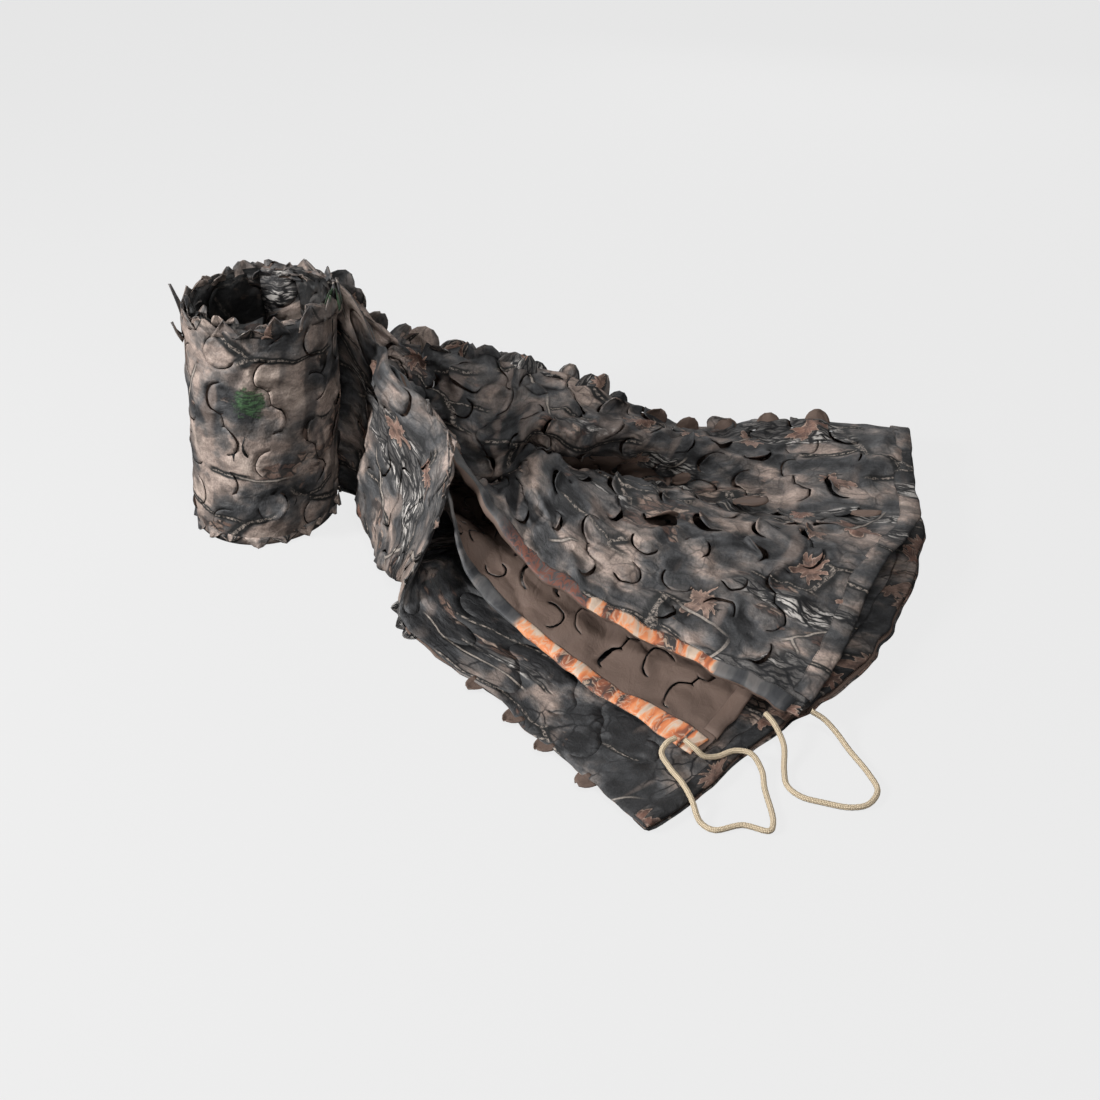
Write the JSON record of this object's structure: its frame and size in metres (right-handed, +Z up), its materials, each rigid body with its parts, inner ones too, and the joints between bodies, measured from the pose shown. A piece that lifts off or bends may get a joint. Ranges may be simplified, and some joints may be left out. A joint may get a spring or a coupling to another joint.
{
  "type": "camouflage net",
  "caption": "Leaf-cut camouflage net folded lengthwise and partly rolled: an upright roll with an open bore and a long tail of cloth layers fanned out flat, with drawcord loops at two corners.",
  "frame": {"origin": "the middle of the cloth's outline on the surface it lies on, cords left out", "axes": "+Z up along the upright roll; +X from the roll toward the far end of the tail; -Y to the side the tail's loose corner and cords point to"},
  "size_m": [0.9702, 0.7022, 0.3094],
  "materials": {
    "camouflage_cloth": "matte woven polyester with a woodland print on its face and plain brown on its back",
    "braided_cord": "matte braid"
  },
  "bodies": {
    "root": {"net_cloth": "camouflage_cloth", "drawcord_lower": "braided_cord", "drawcord_upper": "braided_cord"}
  },
  "joints": []
}
